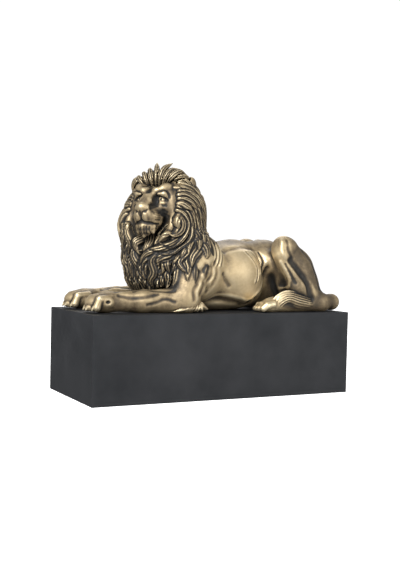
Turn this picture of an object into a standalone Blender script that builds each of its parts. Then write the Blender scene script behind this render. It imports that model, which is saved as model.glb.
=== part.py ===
"""A reclining lion cast in one piece, lying on a plain rectangular plinth.

Lengths are in metres, +Z is up and the origin is the middle of the plinth's underside.
The lion's head points to -X and is turned towards the viewer, who stands at -Y.
The lion's own proportions are written in units, of which LION_LENGTH holds LENGTH_UNITS.
"""

import math

import bmesh
import bpy
from mathutils import Matrix, Vector
from mathutils.bvhtree import BVHTree

# Driving sizes, in metres
LION_LENGTH = 0.247  # paw tips to the bend of the tail
PLINTH_HEIGHT = 0.0758
END_MARGIN = 0.004  # plinth left free beyond the paws and beyond the tail
SIDE_MARGIN = 0.0015  # plinth left free beside the haunches
EDGE_ROUND = 0.0008  # rounding of the plinth's edges
SEAT_GAP = 0.0003  # between the plinth's top and the lion's underside

# The lion's proportions, in units of its length
LENGTH_UNITS = 247.0
WIDTH_UNITS = 107.0
UNIT = LION_LENGTH / LENGTH_UNITS
HEAD_TURN = 44.0  # degrees from straight ahead towards the viewer
HEAD_LIFT = 2.0  # degrees that the nose points up
HEAD_CENTRE = Vector((-46.3, -1.3, 95.6))
PAW_SPREAD = 27.0  # middle of a forepaw from the middle plane
TOE_COUNT = 4
LOCK_WIDTH = 4.9  # half width of a lock of the mane
LOCK_HEIGHT = 4.2  # how proud a lock stands
LOCK_SIDES = 8  # flat sides round a lock
LOCK_STEP = 3.5  # between two rings of corners along a lock
CROWN_LOCKS = 7  # upright locks over the forehead
CROWN_LOCK_WIDTH = 3.9
CROWN_LOCK_HEIGHT = 6.0
FAR_CROWN_SHARE = 0.78  # spread of the fan's far half beside its near half
TUFT_STRANDS = 6  # strands at the end of the tail
MANE_REACH = 80.0  # from the head's middle or the neck's axis to well outside the mane

# How finely the forms are joined and how few faces are kept
FORM_GRAIN = 2.4 * UNIT
LOCK_GRAIN = 1.25 * UNIT
FACE_SHARE = 0.0585

PLINTH_LENGTH = LION_LENGTH + 2 * END_MARGIN
PLINTH_WIDTH = WIDTH_UNITS * UNIT + 2 * SIDE_MARGIN
SEAT_HEIGHT = PLINTH_HEIGHT + SEAT_GAP

TURN = math.radians(HEAD_TURN)
LIFT = math.radians(HEAD_LIFT)
AHEAD = Vector((-math.cos(TURN) * math.cos(LIFT), -math.sin(TURN) * math.cos(LIFT), math.sin(LIFT)))
LEFT = Vector((math.sin(TURN), -math.cos(TURN), 0.0))
CROWN = AHEAD.cross(LEFT)
HEAD_FRAME = Matrix((AHEAD, LEFT, CROWN)).transposed().to_4x4()


def head_point(ahead, left, up):
    """A point given from the middle of the head, in the head's own directions."""
    return HEAD_CENTRE + ahead * AHEAD + left * LEFT + up * CROWN


def clear_scene():
    for item in list(bpy.data.objects):
        bpy.data.objects.remove(item)


def finish(name, colour, roughness, metallic):
    material = bpy.data.materials.new(name)
    material.use_nodes = True
    shader = material.node_tree.nodes["Principled BSDF"]
    shader.inputs["Base Color"].default_value = (*colour, 1.0)
    shader.inputs["Roughness"].default_value = roughness
    shader.inputs["Metallic"].default_value = metallic
    return material


def add_object(name, form, parent=None):
    """A new object that holds the bmesh, which is freed."""
    mesh = bpy.data.meshes.new(name)
    form.to_mesh(mesh)
    form.free()
    item = bpy.data.objects.new(name, mesh)
    bpy.context.scene.collection.objects.link(item)
    item.parent = parent
    return item


def shaped(item):
    """The object's mesh with its modifiers carried out, as a bmesh in the object's own frame."""
    graph = bpy.context.evaluated_depsgraph_get()
    form = bmesh.new()
    form.from_object(item, graph)
    return form


# Plain forms


def ball(form, centre, radii, frame=None):
    """An ellipsoid; frame turns it. Large ones get more faces."""
    place = Matrix.Translation(Vector(centre) * UNIT)
    if frame is not None:
        place = place @ frame
    size = Matrix.Diagonal((radii[0] * UNIT, radii[1] * UNIT, radii[2] * UNIT, 1.0))
    detail = 4 if max(radii) > 16 else 3
    bmesh.ops.create_icosphere(form, subdivisions=detail, radius=1.0, matrix=place @ size)


def limb(form, start, radius, end, last_radius):
    """A round limb with round ends, whose radius runs from radius to last_radius."""
    start = Vector(start)
    end = Vector(end)
    ball(form, start, (radius, radius, radius))
    ball(form, end, (last_radius, last_radius, last_radius))
    run = end - start
    turn = run.to_track_quat("Z", "Y").to_matrix().to_4x4()
    place = Matrix.Translation((start + end) * 0.5 * UNIT) @ turn
    bmesh.ops.create_cone(
        form,
        cap_ends=True,
        segments=24,
        radius1=radius * UNIT,
        radius2=last_radius * UNIT,
        depth=run.length * UNIT,
        matrix=place,
    )


def head_ball(form, at, radii):
    ball(form, head_point(*at), radii, HEAD_FRAME)


def head_limb(form, start, radius, end, last_radius):
    limb(form, head_point(*start), radius, head_point(*end), last_radius)


# The lion's forms, in units above the plinth's top


def add_trunk(form):
    ball(form, (8, 0, 33), (47, 38, 28))
    limb(form, (-10, 0, 40), 18, (30, 0, 42), 23)
    limb(form, (30, 0, 42), 23, (66, 0, 44), 21)
    limb(form, (66, 0, 44), 21, (84, 0, 38), 21)
    ball(form, (26, 0, 24), (35, 35, 21))
    ball(form, (10, 0, 10), (46, 26, 11))
    limb(form, (60, 0, 20), 18, (90, 0, 20), 20)
    for side in (-1, 1):
        ball(form, (22, side * 17, 34), (28, 24, 27))
        ball(form, (28, side * 13, 18), (24, 24, 14))
        limb(form, (58, side * 18, 46), 10, (76, side * 26, 44), 14)


def add_hind_leg(form, side):
    knee = 59 if side < 0 else 56.5
    ball(form, (83, side * 29, 33), (19, 18, 26))
    limb(form, (69, side * 34, knee - 2), 13, (82, side * 30, 39), 16)
    ball(form, (65, side * 35, knee), (9.5, 11.5, 11))
    limb(form, (63, side * 38, 52), 8.5, (78, side * 41, 24), 10)
    limb(form, (78, side * 41, 24), 10, (101, side * 41, 10), 9)
    ball(form, (92, side * 32, 21), (14.5, 16, 20))
    limb(form, (105, side * 42, 7), 7.5, (52, side * 42, 7), 7.5)


def add_hind_toes(form, side):
    ball(form, (46, side * 43, 6), (11, 9, 7))
    for toe in range(TOE_COUNT):
        out = toe - (TOE_COUNT - 1) / 2
        across = side * (43 + out * 4.6)
        limb(form, (46, across, 7), 3.8, (37 + abs(out), across, 4.4), 3.6)


def add_foreleg(form, side):
    ball(form, (-20, side * 28, 40), (26, 19, 31))
    limb(form, (-24, side * 33, 44), 16, (-36, side * 37, 16), 14)
    ball(form, (-38, side * 39, 10), (15, 10, 11))
    limb(form, (-38, side * 37, 10), 11.5, (-75, side * 33, 10), 10)
    limb(form, (-75, side * 33, 10), 10, (-100, side * 29, 9.5), 9)


def add_paw(form, side):
    ball(form, (-107, side * PAW_SPREAD, 9), (15, 13, 9.5))
    for toe in range(TOE_COUNT):
        out = toe - (TOE_COUNT - 1) / 2
        across = side * (PAW_SPREAD + out * 6.8)
        root = (-104, side * (PAW_SPREAD + out * 5.2), 11.5)
        knuckle = (-114 + abs(out), across, 10)
        tip = (-118.5 + 2.2 * abs(out) ** 1.5, across, 5.4)
        limb(form, root, 4.6, knuckle, 4.8)
        limb(form, knuckle, 4.8, tip, 4.6)


def add_tail(form):
    """The tail lies round the near haunch; its tuft covers the near hind foot."""
    way = (
        (92, -2, 28, 8),
        (107, -9, 16, 7.5),
        (114, -23, 9, 7),
        (116.5, -39, 8, 6.8),
        (104, -45.5, 7.5, 6.2),
    )
    for start, end in zip(way, way[1:]):
        limb(form, start[:3], start[3], end[:3], end[3])


def add_tail_tuft(form):
    """Strands that rise over the foot in one another's curve and come down towards the toes."""
    for share in spread(0, 1, TUFT_STRANDS):
        out = -44.5 - 4.0 * math.sin(math.pi * (0.15 + 0.75 * share))
        top = 15.0 - 11.0 * share
        reach = 54 + 8 * share
        points = []
        for t in spread(0, 1, 9):
            x = 104 + (reach - 104) * t
            z = 6 + (top - 6) * math.sin(math.pi * min(1.0, 0.1 + 0.9 * t)) ** 0.8 - 3.5 * t * t
            points.append(Vector((x, out + 3 * (1 - t) ** 2, z)))
        across = [Vector((0, -0.5, 0.85))] * len(points)
        add_lock(form, points, across, 2.4, 2.0)


def add_mane(form):
    limb(form, (-28, 0, 44), 27, (-36, -1, 86), 30)
    ball(form, (-41, 0, 94), (29, 35, 35))
    ball(form, (-45, 1, 76), (33, 36, 27))
    ball(form, (-47, 0, 52), (26, 32, 40))
    ball(form, (-47, -1, 32), (22, 27, 20))


def add_face_bay(form):
    """What is cut out of the mane for the face to stand in."""
    head_ball(form, (36, 0, -8), (24, 21, 32))
    head_ball(form, (36, 0, 25), (28, 19, 20))


def add_head(form):
    head_ball(form, (0, 0, -3), (26, 21, 18))
    head_ball(form, (3, 0, 18), (9.5, 17, 13))
    head_limb(form, (10, 0, 5), 10.5, (23, 0, 0), 9.5)
    head_limb(form, (22, 0, 2), 8, (36, 0, -5.5), 6)
    head_ball(form, (39.0, 0, -8), (4, 6, 4.5))
    head_ball(form, (27, 0, -24.5), (9.5, 8.2, 6.2))
    head_ball(form, (24, 0, -18), (13, 9.5, 9))
    for side in (-1, 1):
        head_limb(form, (24, side * 3.2, 3), 3.4, (37, side * 3.2, -4), 2.6)
        head_ball(form, (30.5, side * 5.2, -13.2), (10.4, 6.8, 6.6))
        head_ball(form, (12, side * 15, -7), (13, 8.5, 12))
        head_ball(form, (15, side * 11, -15), (14, 8.5, 10))
        head_ball(form, (19, side * 9.5, -21), (9, 6.5, 8))
        head_ball(form, (21, side * 8.5, 7.6), (8, 7, 3.8))
        head_ball(form, (19.8, side * 9.2, 1.8), (4.6, 4.6, 4.2))


def add_crown_fan(form):
    """The upright locks that spread from the middle of the hairline."""
    for phi in spread(-66, 66, CROWN_LOCKS):
        wide = math.sin(math.radians(phi)) * (1.0 if phi > 0 else FAR_CROWN_SHARE)
        tall = math.cos(math.radians(phi))
        stops = [
            head_point(9, 12 * wide, 9 + 6 * tall),
            head_point(11, 18 * wide, 12 + 12 * tall),
            head_point(7, 24 * wide, 14 + 18 * tall),
            head_point(-2, 29 * wide, 15 + 23 * tall),
        ]
        path = smooth_path(stops, 8)
        out = (AHEAD + 0.35 * (wide * LEFT + tall * CROWN)).normalized()
        add_lock(form, path, [out] * len(path), CROWN_LOCK_WIDTH, CROWN_LOCK_HEIGHT)


def add_ears(form):
    for side in (-1, 1):
        head_ball(form, (-1, side * 23, 16), (5.5, 6, 8))


# Locks of the mane


def head_way(alpha, phi):
    """From the middle of the head: alpha degrees off the nose, phi from the crown to the left ear."""
    a = math.radians(alpha)
    f = math.radians(phi)
    return HEAD_CENTRE, math.cos(a) * AHEAD + math.sin(a) * (math.cos(f) * CROWN + math.sin(f) * LEFT)


def neck_way(theta, height):
    """From the neck's upright axis: theta degrees from the front towards the left side."""
    t = math.radians(theta)
    return Vector((-40, 0, height)), Vector((-math.cos(t), -math.sin(t), 0))


def cheek_way(side, radius, psi):
    """On a ring, radius degrees wide, about the hollow behind the jaw; psi is 180 at its back."""
    middle = (19 * AHEAD + side * 19 * LEFT - 15 * CROWN).normalized()
    rise = (CROWN - CROWN.dot(middle) * middle).normalized()
    front = (AHEAD - AHEAD.dot(middle) * middle - AHEAD.dot(rise) * rise).normalized()
    r = math.radians(radius)
    p = math.radians(psi)
    return HEAD_CENTRE, math.cos(r) * middle + math.sin(r) * (math.cos(p) * front + math.sin(p) * rise)


def spread(first, last, count):
    return [first + (last - first) * i / (count - 1) for i in range(count)]


def hanging(theta, top, drop, bend):
    """A lock that hangs in a slow wave."""
    return [
        neck_way(theta - bend * 0.3, top + 5),
        neck_way(theta + bend * 0.5, top - drop * 0.3),
        neck_way(theta - bend * 0.4, top - drop * 0.65),
        neck_way(theta + bend * 0.5, top - drop),
    ]


def leaning(side, theta, top, drop, lean):
    """A lock on the shoulder whose tip is drawn forward."""
    return [
        neck_way(side * theta, top + 5),
        neck_way(side * (theta - lean * 0.2), top - drop * 0.35),
        neck_way(side * (theta - lean * 0.9), top - drop * 0.7),
        neck_way(side * (theta - lean * 0.6), top - drop),
    ]


def mane_locks():
    """Every lock as its ways over the mane, how far its tip stands off, and its share of full width.

    Locks hang down the back, lean over the shoulders, hang on the breast, sweep from the jaw to
    the breast, ring the cheeks and are combed back over the skull. Each family is written as
    rows of heights and drops, or as the angles at which it starts and ends.
    """
    locks = []
    back_rows = ((64, 26), (82, 28), (100, 30))
    shoulder_rows = ((40, 20, 30, 118), (52, 22, 40, 126), (64, 22, 55, 132))
    breast_rows = ((40, 22, 5), (56, 24, 5), (70, 24, 4))
    sweeps = ((62, 232, 40, 20), (50, 240, 47, 10), (38, 250, 55, 14))
    cheek_rings = (74, 62, 50, 38, 26, 15)
    skull_rows = ((128, 165, 24, 96, 1.0), (95, 138, 20, 90, 2.0))
    for row, (top, drop) in enumerate(back_rows):
        for i in range(7):
            bend = 7 * math.sin(1.7 * i + row)
            locks.append((hanging(120 + 20 * i + (row % 2) * 10, top, drop, bend), 0.8, 1.15))
    for side in (-1, 1):
        for row, (top, drop, first, last) in enumerate(shoulder_rows):
            for i, theta in enumerate(spread(first, last, 5)):
                lean = 9 + 3 * math.sin(2.1 * i + row)
                locks.append((leaning(side, theta, top, drop, lean), 0.8, 1.0))
    for row, (top, drop, count) in enumerate(breast_rows):
        for i, theta in enumerate(spread(-34, 34, count)):
            locks.append((hanging(theta + 8 * (row % 2), top, drop, 8 * (-1) ** i), 0.8, 1.0))
    for side in (-1, 1):
        for i, (radius, psi, low, front) in enumerate(sweeps):
            ways = [cheek_way(side, radius, psi - 40), cheek_way(side, radius, psi)]
            ways.append(neck_way(side * (62 - 4 * i), low + 14))
            ways.append(neck_way(side * (38 - 2 * i), low + 6))
            ways.append(neck_way(side * (front + 4), low - 3))
            ways.append(neck_way(side * (front + 8), low - 14))
            locks.append((ways, 0.6, 0.85))
        for ring, radius in enumerate(cheek_rings):
            first, last = 104 - 6 * ring, 250 + 8 * ring  # a smaller ring runs further round
            locks.append(([cheek_way(side, radius, psi) for psi in spread(first, last, 8)], 0.6, 0.75))
    for start, end, step, wide, rise in skull_rows:
        for phi in spread(-wide, wide, int(2 * wide / step) + 1):
            curl = 7 if phi > 0 else -7
            ways = [head_way(start, phi * 0.7), head_way(start + (end - start) * 0.35, phi * 0.86)]
            ways.append(head_way(start + (end - start) * 0.7, phi))
            ways.append(head_way(end, phi + curl))
            locks.append((ways, rise, 0.95))
    return locks


def smooth_path(points, count):
    """A Catmull-Rom curve through the points."""
    full = [2 * points[0] - points[1], *points, 2 * points[-1] - points[-2]]
    path = []
    for step in range(count):
        t = step * (len(points) - 1) / (count - 1)
        i = min(int(t), len(points) - 2)
        f = t - i
        a, b, c, d = full[i : i + 4]
        bend = (2 * a - 5 * b + 4 * c - d) * f * f + (3 * b - a - 3 * c + d) * f**3
        path.append(0.5 * (2 * b + (c - a) * f + bend))
    return path


def land(skin, way):
    """Where a way leaves the mane's outer skin, looking in from outside."""
    centre, out = way
    outside = centre + out * MANE_REACH
    hit = skin.ray_cast(outside * UNIT, -out)[0]
    return hit / UNIT if hit else centre


def add_lock(form, points, normals, width, height):
    """A flattened tube along points, narrow at its root and pointed at its tip."""
    rings = []
    last = len(points) - 1
    for i, (point, normal) in enumerate(zip(points, normals)):
        tangent = (points[min(i + 1, last)] - points[max(i - 1, 0)]).normalized()
        across = tangent.cross(normal).normalized()
        up = across.cross(tangent).normalized()
        fill = max(math.sin(math.pi * min(1.0, 0.12 + 0.88 * i / last)), 0.0) ** 0.7
        half = max(width * fill, 0.7)
        tall = max(height * fill, 0.6)
        ring = []
        for corner in range(LOCK_SIDES):
            angle = 2 * math.pi * corner / LOCK_SIDES
            offset = across * math.cos(angle) * half + up * math.sin(angle) * tall
            ring.append(form.verts.new((point + offset) * UNIT))
        rings.append(ring)
    for first, second in zip(rings, rings[1:]):
        for corner in range(LOCK_SIDES):
            after = (corner + 1) % LOCK_SIDES
            form.faces.new((first[corner], second[corner], second[after], first[after]))
    form.faces.new(rings[0])
    form.faces.new(list(reversed(rings[-1])))


def add_mane_locks(form, skin):
    for ways, tip, share in mane_locks():
        stops = [land(skin, way) for way in ways]
        length = sum((b - a).length for a, b in zip(stops, stops[1:]))
        path = smooth_path(stops, max(6, int(length / LOCK_STEP)))
        points = []
        normals = []
        for i, point in enumerate(path):
            near, normal = skin.find_nearest(point * UNIT)[:2]
            t = i / (len(path) - 1)
            lift = -0.8 * (1 - t) ** 2 + tip * t * t
            points.append(near / UNIT + normal * lift)
            normals.append(normal)
        add_lock(form, points, normals, LOCK_WIDTH * share, LOCK_HEIGHT)


def mane_skin():
    """The plain mane with the shoulders, as a surface for the locks to lie on."""
    form = bmesh.new()
    add_mane(form)
    for side in (-1, 1):
        ball(form, (-20, side * 28, 40), (25, 18, 30))
        limb(form, (-24, side * 33, 44), 15, (-36, side * 37, 16), 13)
    item = add_object("mane_skin", form)
    join_forms(item, FORM_GRAIN, 4)
    cut_bay(item)
    surface = shaped(item)
    skin = BVHTree.FromBMesh(surface)
    surface.free()
    bpy.data.objects.remove(item)
    return skin


def join_forms(item, grain, smoothing):
    """Joins crossing forms into one skin and eases the creases between them."""
    remesh = item.modifiers.new("join forms", "REMESH")
    remesh.mode = "VOXEL"
    remesh.voxel_size = grain
    if smoothing:
        smooth = item.modifiers.new("ease creases", "SMOOTH")
        smooth.factor = 0.5
        smooth.iterations = smoothing


def cut_bay(item):
    """Hollows the mane where the face stands."""
    form = bmesh.new()
    add_face_bay(form)
    cutter = add_object("face_bay", form)
    join_forms(cutter, FORM_GRAIN, 2)
    cutter.hide_render = True
    cutter.display_type = "WIRE"
    cut = item.modifiers.new("face bay", "BOOLEAN")
    cut.operation = "DIFFERENCE"
    cut.solver = "EXACT"
    cut.object = cutter


def keep_outer_skin(form):
    """Keeps the largest connected surface, so no bubble is left between the locks."""
    left = set(form.verts)
    largest = []
    while left:
        start = left.pop()
        found = [start]
        for vertex in found:
            for edge in vertex.link_edges:
                other = edge.other_vert(vertex)
                if other in left:
                    left.remove(other)
                    found.append(other)
        if len(found) > len(largest):
            largest = found
    kept = set(largest)
    bmesh.ops.delete(form, geom=[v for v in form.verts if v not in kept], context="VERTS")


def build_lion(parent):
    rough = bmesh.new()
    add_trunk(rough)
    add_mane(rough)
    add_tail(rough)
    for side in (-1, 1):
        add_hind_leg(rough, side)
        add_foreleg(rough, side)
    body = add_object("rough_body", rough)
    join_forms(body, FORM_GRAIN, 7)
    cut_bay(body)
    form = shaped(body)
    skin = mane_skin()
    add_head(form)
    add_crown_fan(form)
    add_ears(form)
    add_tail_tuft(form)
    for side in (-1, 1):
        add_paw(form, side)
        add_hind_toes(form, side)
    add_mane_locks(form, skin)
    carved = add_object("carved_body", form)
    join_forms(carved, LOCK_GRAIN, 1)
    form = shaped(carved)
    keep_outer_skin(form)
    lion = add_object("lion", form, parent)
    for item in (body, carved):
        bpy.data.objects.remove(item)
    thin = lion.modifiers.new("fewer faces", "DECIMATE")
    thin.ratio = FACE_SHARE
    flat = bmesh.new()
    depth = LION_LENGTH / 6
    size = Matrix.Diagonal((2 * LION_LENGTH, 2 * LION_LENGTH, depth, 1.0))
    bmesh.ops.create_cube(flat, size=1.0, matrix=Matrix.Translation((0, 0, -depth / 2)) @ size)
    cutter = add_object("underside", flat, parent)
    cutter.hide_render = True
    cutter.display_type = "WIRE"
    cut = lion.modifiers.new("flat underside", "BOOLEAN")
    cut.operation = "DIFFERENCE"
    cut.solver = "EXACT"
    cut.object = cutter
    lion.data.shade_smooth()
    lion.data.materials.append(finish("antique bronze", (0.36, 0.27, 0.15), 0.38, 0.9))
    return lion


def build_plinth(parent):
    form = bmesh.new()
    size = Matrix.Diagonal((PLINTH_LENGTH, PLINTH_WIDTH, PLINTH_HEIGHT, 1.0))
    place = Matrix.Translation((0, 0, PLINTH_HEIGHT / 2))
    bmesh.ops.create_cube(form, size=1.0, matrix=place @ size)
    plinth = add_object("plinth", form, parent)
    bevel = plinth.modifiers.new("eased edges", "BEVEL")
    bevel.width = EDGE_ROUND
    bevel.segments = 2
    plinth.data.materials.append(finish("black plinth", (0.045, 0.045, 0.05), 0.45, 0.0))
    return plinth


def build_figurine():
    clear_scene()
    base = bpy.data.objects.new("figurine", None)
    bpy.context.scene.collection.objects.link(base)
    build_plinth(base)
    seat = bpy.data.objects.new("seat", None)
    seat.parent = base
    seat.location = (0, 0, SEAT_HEIGHT)
    bpy.context.scene.collection.objects.link(seat)
    build_lion(seat)


build_figurine()
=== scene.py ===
"""The fine surface of a reclining lion on a plinth, with its finishes, light and camera.

The casting is shaped as clay on a grid of distances, in millimetres over the middle of the
plinth's top. The lion's head points to -X and is turned towards -Y, where the viewer stands.
"""

import random
from math import cos, pi, radians, sin

import bmesh
import bpy
import numpy as np
import openvdb
from mathutils import Matrix, Vector


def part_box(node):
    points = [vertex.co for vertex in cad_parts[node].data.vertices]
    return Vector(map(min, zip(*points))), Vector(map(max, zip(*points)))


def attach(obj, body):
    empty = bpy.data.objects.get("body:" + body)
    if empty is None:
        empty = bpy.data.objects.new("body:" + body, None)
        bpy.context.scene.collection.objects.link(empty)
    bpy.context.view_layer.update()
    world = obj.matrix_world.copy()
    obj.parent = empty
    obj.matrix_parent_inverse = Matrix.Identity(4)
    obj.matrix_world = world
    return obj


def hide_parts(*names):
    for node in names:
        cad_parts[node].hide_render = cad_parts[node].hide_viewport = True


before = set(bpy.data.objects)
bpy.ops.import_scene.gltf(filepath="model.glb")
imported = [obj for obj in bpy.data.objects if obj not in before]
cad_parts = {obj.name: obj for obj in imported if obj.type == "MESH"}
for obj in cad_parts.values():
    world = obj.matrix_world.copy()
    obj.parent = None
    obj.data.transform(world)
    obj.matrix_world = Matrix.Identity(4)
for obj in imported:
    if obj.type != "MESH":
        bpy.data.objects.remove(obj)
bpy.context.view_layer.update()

MM = 0.001
PLINTH_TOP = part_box("plinth")[1].z
PLINTH_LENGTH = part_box("plinth")[1].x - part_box("plinth")[0].x
UNDERSIDE = (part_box("lion")[0].z - PLINTH_TOP) / MM

GRAIN = 0.62  # spacing of the clay's finest grid
CLAY_LOW, CLAY_HIGH = (-127, -58, -3), (129, 58, 138)  # the block that the lion is shaped in
SKIN_LOW, SKIN_HIGH = (-102, -58, -3), (46, 58, 138)  # the part of it with the mane's skin
FACE_LIMIT = 196000  # triangles of the casting
HOLLOW_REACH = {"fine_hollow": 0.9, "broad_hollow": 3.2}  # how far round a spot hollows are felt
FINE_LOCKS = 420  # short locks under the mane's large ones
NO_GROOVE = -1.0  # for a lock that presses nothing into what it lies on
MANE_SEED, CHIN_SEED, LEG_SEED = 5, 4, 8

# The lion's own places, in millimetres over the middle of the plinth's top
HEAD = np.array((-46.3, -1.3, 95.6))
HEAD_TURN = radians(44)
HEAD_LIFT = radians(2)
AHEAD = np.array((-cos(HEAD_TURN) * cos(HEAD_LIFT), -sin(HEAD_TURN) * cos(HEAD_LIFT), sin(HEAD_LIFT)))
LEFT = np.array((sin(HEAD_TURN), -cos(HEAD_TURN), 0.0))
CROWN = np.cross(AHEAD, LEFT)
HEAD_AXES = np.array((AHEAD, LEFT, CROWN))
NECK = np.array((-40.0, 0.0, 0.0))

# The face is turned less than the skull behind it
FACE_LESS = radians(7)
FACE_AHEAD = AHEAD * cos(FACE_LESS) - LEFT * sin(FACE_LESS)
FACE_LEFT = LEFT * cos(FACE_LESS) + AHEAD * sin(FACE_LESS)
FACE_AXES = np.array((FACE_AHEAD, FACE_LEFT, CROWN))
FACE = HEAD + 16 * (AHEAD - FACE_AHEAD) + 1.5 * FACE_LEFT
BOTH = (-1, 1)


def unit(v):
    v = np.asarray(v, float)
    return v / np.linalg.norm(v)


def unit_rows(rows):
    return rows / np.maximum(np.linalg.norm(rows, axis=-1, keepdims=True), 1e-6)


def dot(a, b):
    return sum(p * q for p, q in zip(a, b))


def between(start, end, along):
    """Where each share of the way along lies between start and end, axis by axis."""
    return [np.float32(p) + along * np.float32(q - p) for p, q in zip(start, end)]


def beside_run(grid, start, end):
    """How far along the run from start to end each grid point lies, and its offset from there."""
    run = end - start
    off = [g - np.float32(s) for g, s in zip(grid, start)]
    size = np.float32(max(run @ run, 1e-9))
    along = np.clip(sum(o * np.float32(r) for o, r in zip(off, run)) / size, 0, 1)
    return along, [o - along * np.float32(r) for o, r in zip(off, run)]


def head_point(ahead, left, up):
    return HEAD + ahead * AHEAD + left * LEFT + up * CROWN


def face_point(ahead, left, up):
    return FACE + ahead * FACE_AHEAD + left * FACE_LEFT + up * CROWN


def cell_between(low, high, origin, step, shape, least):
    """The slices of a grid between two corners, or None with less than the least grid points a side."""
    first = np.clip(np.floor((low - origin) / step).astype(int), 0, shape)
    last = np.clip(np.ceil((high - origin) / step).astype(int) + 1, 0, shape)
    if (last - first).min() < least:
        return None
    return tuple(slice(a, b) for a, b in zip(first, last))


class Clay:
    """A block of clay on a regular grid; each grid point holds its distance to the surface."""

    FAR = 14.0  # the distance held by untouched clay
    MARGIN = 8.0  # how far from a new form the clay takes note of it
    FADED = 2.6  # widths from a stroke where nothing of it is left

    def __init__(self, low, step, field):
        self.low = np.array(low, float)
        self.step = step
        self.field = field

    def window(self, low, high):
        """The part of the field between two corners, and its grid's three axes."""
        part = cell_between(low, high, self.low, self.step, self.field.shape, 2)
        if part is None:
            return None, None
        x, y, z = (
            (self.low[i] + self.step * np.arange(part[i].start, part[i].stop)).astype(np.float32)
            for i in range(3)
        )
        return part, (x[:, None, None], y[None, :, None], z[None, None, :])

    def around(self, points, edge):
        return self.window(points.min(axis=0) - edge, points.max(axis=0) + edge)

    def merge(self, part, distance, blend, cut=False):
        old = self.field[part]
        if cut:
            old = -old
        close = np.maximum(blend - np.abs(old - distance), 0.0) / max(blend, 1e-6)
        new = np.minimum(old, distance) - close * close * (blend * 0.25)
        self.field[part] = -new if cut else new

    def ball(self, centre, radii, blend=6.0, turn=None, cut=False):
        """An ellipsoid; the rows of turn are its own axes."""
        centre = np.asarray(centre, float)
        radii = np.asarray(radii, float)
        reach = radii if turn is None else np.sqrt(((np.asarray(turn).T * radii) ** 2).sum(axis=1))
        edge = blend + 1.0 if cut else self.MARGIN
        part, grid = self.window(centre - reach - edge, centre + reach + edge)
        if part is None:
            return
        off = [g - np.float32(c) for g, c in zip(grid, centre)]
        if turn is not None:
            off = [sum(np.float32(turn[i][j]) * off[j] for j in range(3)) for i in range(3)]
        near = np.sqrt(sum((o / np.float32(r)) ** 2 for o, r in zip(off, radii)))
        slope = np.sqrt(sum((o / np.float32(r * r)) ** 2 for o, r in zip(off, radii)))
        distance = near * (near - 1.0) / np.maximum(slope, 1e-4)
        self.merge(part, distance, blend, cut)

    def limb(self, stops, blend=6.0, cut=False):
        """Round limbs from stop to stop, each (x, y, z, radius)."""
        for (*start, radius), (*end, last_radius) in zip(stops, stops[1:]):
            ends = np.array((start, end), float)
            edge = max(radius, last_radius) + (blend + 1.0 if cut else self.MARGIN)
            part, grid = self.around(ends, edge)
            if part is None:
                continue
            along, rest = beside_run(grid, *ends)
            thick = radius + along * (last_radius - radius)
            self.merge(part, np.sqrt(dot(rest, rest)) - thick, blend, cut)

    def stroke(self, points, width, depth):
        """Presses a soft groove along points, or raises a ridge where depth is negative."""
        points = np.asarray(points, float)
        part, grid = self.around(points, self.FADED * width)
        if part is None:
            return
        nearest = None
        for start, end in zip(points, points[1:]):
            _, rest = beside_run(grid, start, end)
            gap = dot(rest, rest)
            nearest = gap if nearest is None else np.minimum(nearest, gap)
        self.field[part] += np.float32(depth) * np.exp(-nearest / np.float32(width * width))

    def block(self, low, high):
        """A copy of the part between two corners."""
        first = np.round((np.array(low) - self.low) / self.step).astype(int)
        last = np.round((np.array(high) - self.low) / self.step).astype(int) + 1
        part = tuple(slice(a, b) for a, b in zip(first, np.minimum(last, self.field.shape)))
        return Clay(self.low + first * self.step, self.step, self.field[part].copy())

    def refined(self):
        """The same clay on a grid twice as fine."""
        field = self.field
        for axis in range(3):
            field = np.moveaxis(field, axis, 0)
            fine = np.empty((2 * field.shape[0] - 1,) + field.shape[1:], np.float32)
            fine[::2] = field
            fine[1::2] = 0.5 * (field[1:] + field[:-1])
            field = np.moveaxis(fine, 0, axis)
        return Clay(self.low, self.step / 2, np.ascontiguousarray(field))

    def read(self, points, field=None):
        """The field at any points, read between grid points."""
        field = self.field if field is None else field
        at = (np.asarray(points, float) - self.low) / self.step
        at = np.clip(at, 0, np.array(field.shape) - 1.001)
        base = at.astype(int)
        part = at - base
        total = 0.0
        for corner in range(8):
            step = [(corner >> i) & 1 for i in range(3)]
            weight = 1.0
            for i in range(3):
                weight = weight * (part[..., i] if step[i] else 1 - part[..., i])
            total = total + weight * field[tuple(base[..., i] + step[i] for i in range(3))]
        return total

    def slope(self, points, span=1.5):
        """The outward direction at points."""
        parts = [self.read(points + shift) - self.read(points - shift) for shift in span * np.eye(3)]
        return unit_rows(np.stack(parts, axis=-1))

    def fullness(self, reach):
        """The share of solid round each grid point, from nothing to whole, over about reach."""
        solid = np.clip(0.5 - self.field / self.step, 0.0, 1.0).astype(np.float32)
        half = max(1, int(round(reach / self.step)))
        span = 2 * half + 1
        for axis in range(3):
            for _ in range(2):
                solid = np.moveaxis(solid, axis, 0)
                padded = np.concatenate([solid[:1]] * (half + 1) + [solid] + [solid[-1:]] * half)
                total = np.cumsum(padded, axis=0, dtype=np.float64)
                solid = ((total[span:] - total[:-span]) / span).astype(np.float32)
                solid = np.moveaxis(solid, 0, axis)
        return solid

    def mesh(self):
        grid = openvdb.FloatGrid(self.FAR)
        grid.copyFromArray(self.field)
        points, quads = grid.convertToQuads(0.0)
        return points * self.step + self.low, quads[:, ::-1]


# The main masses, as in the solids


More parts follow.
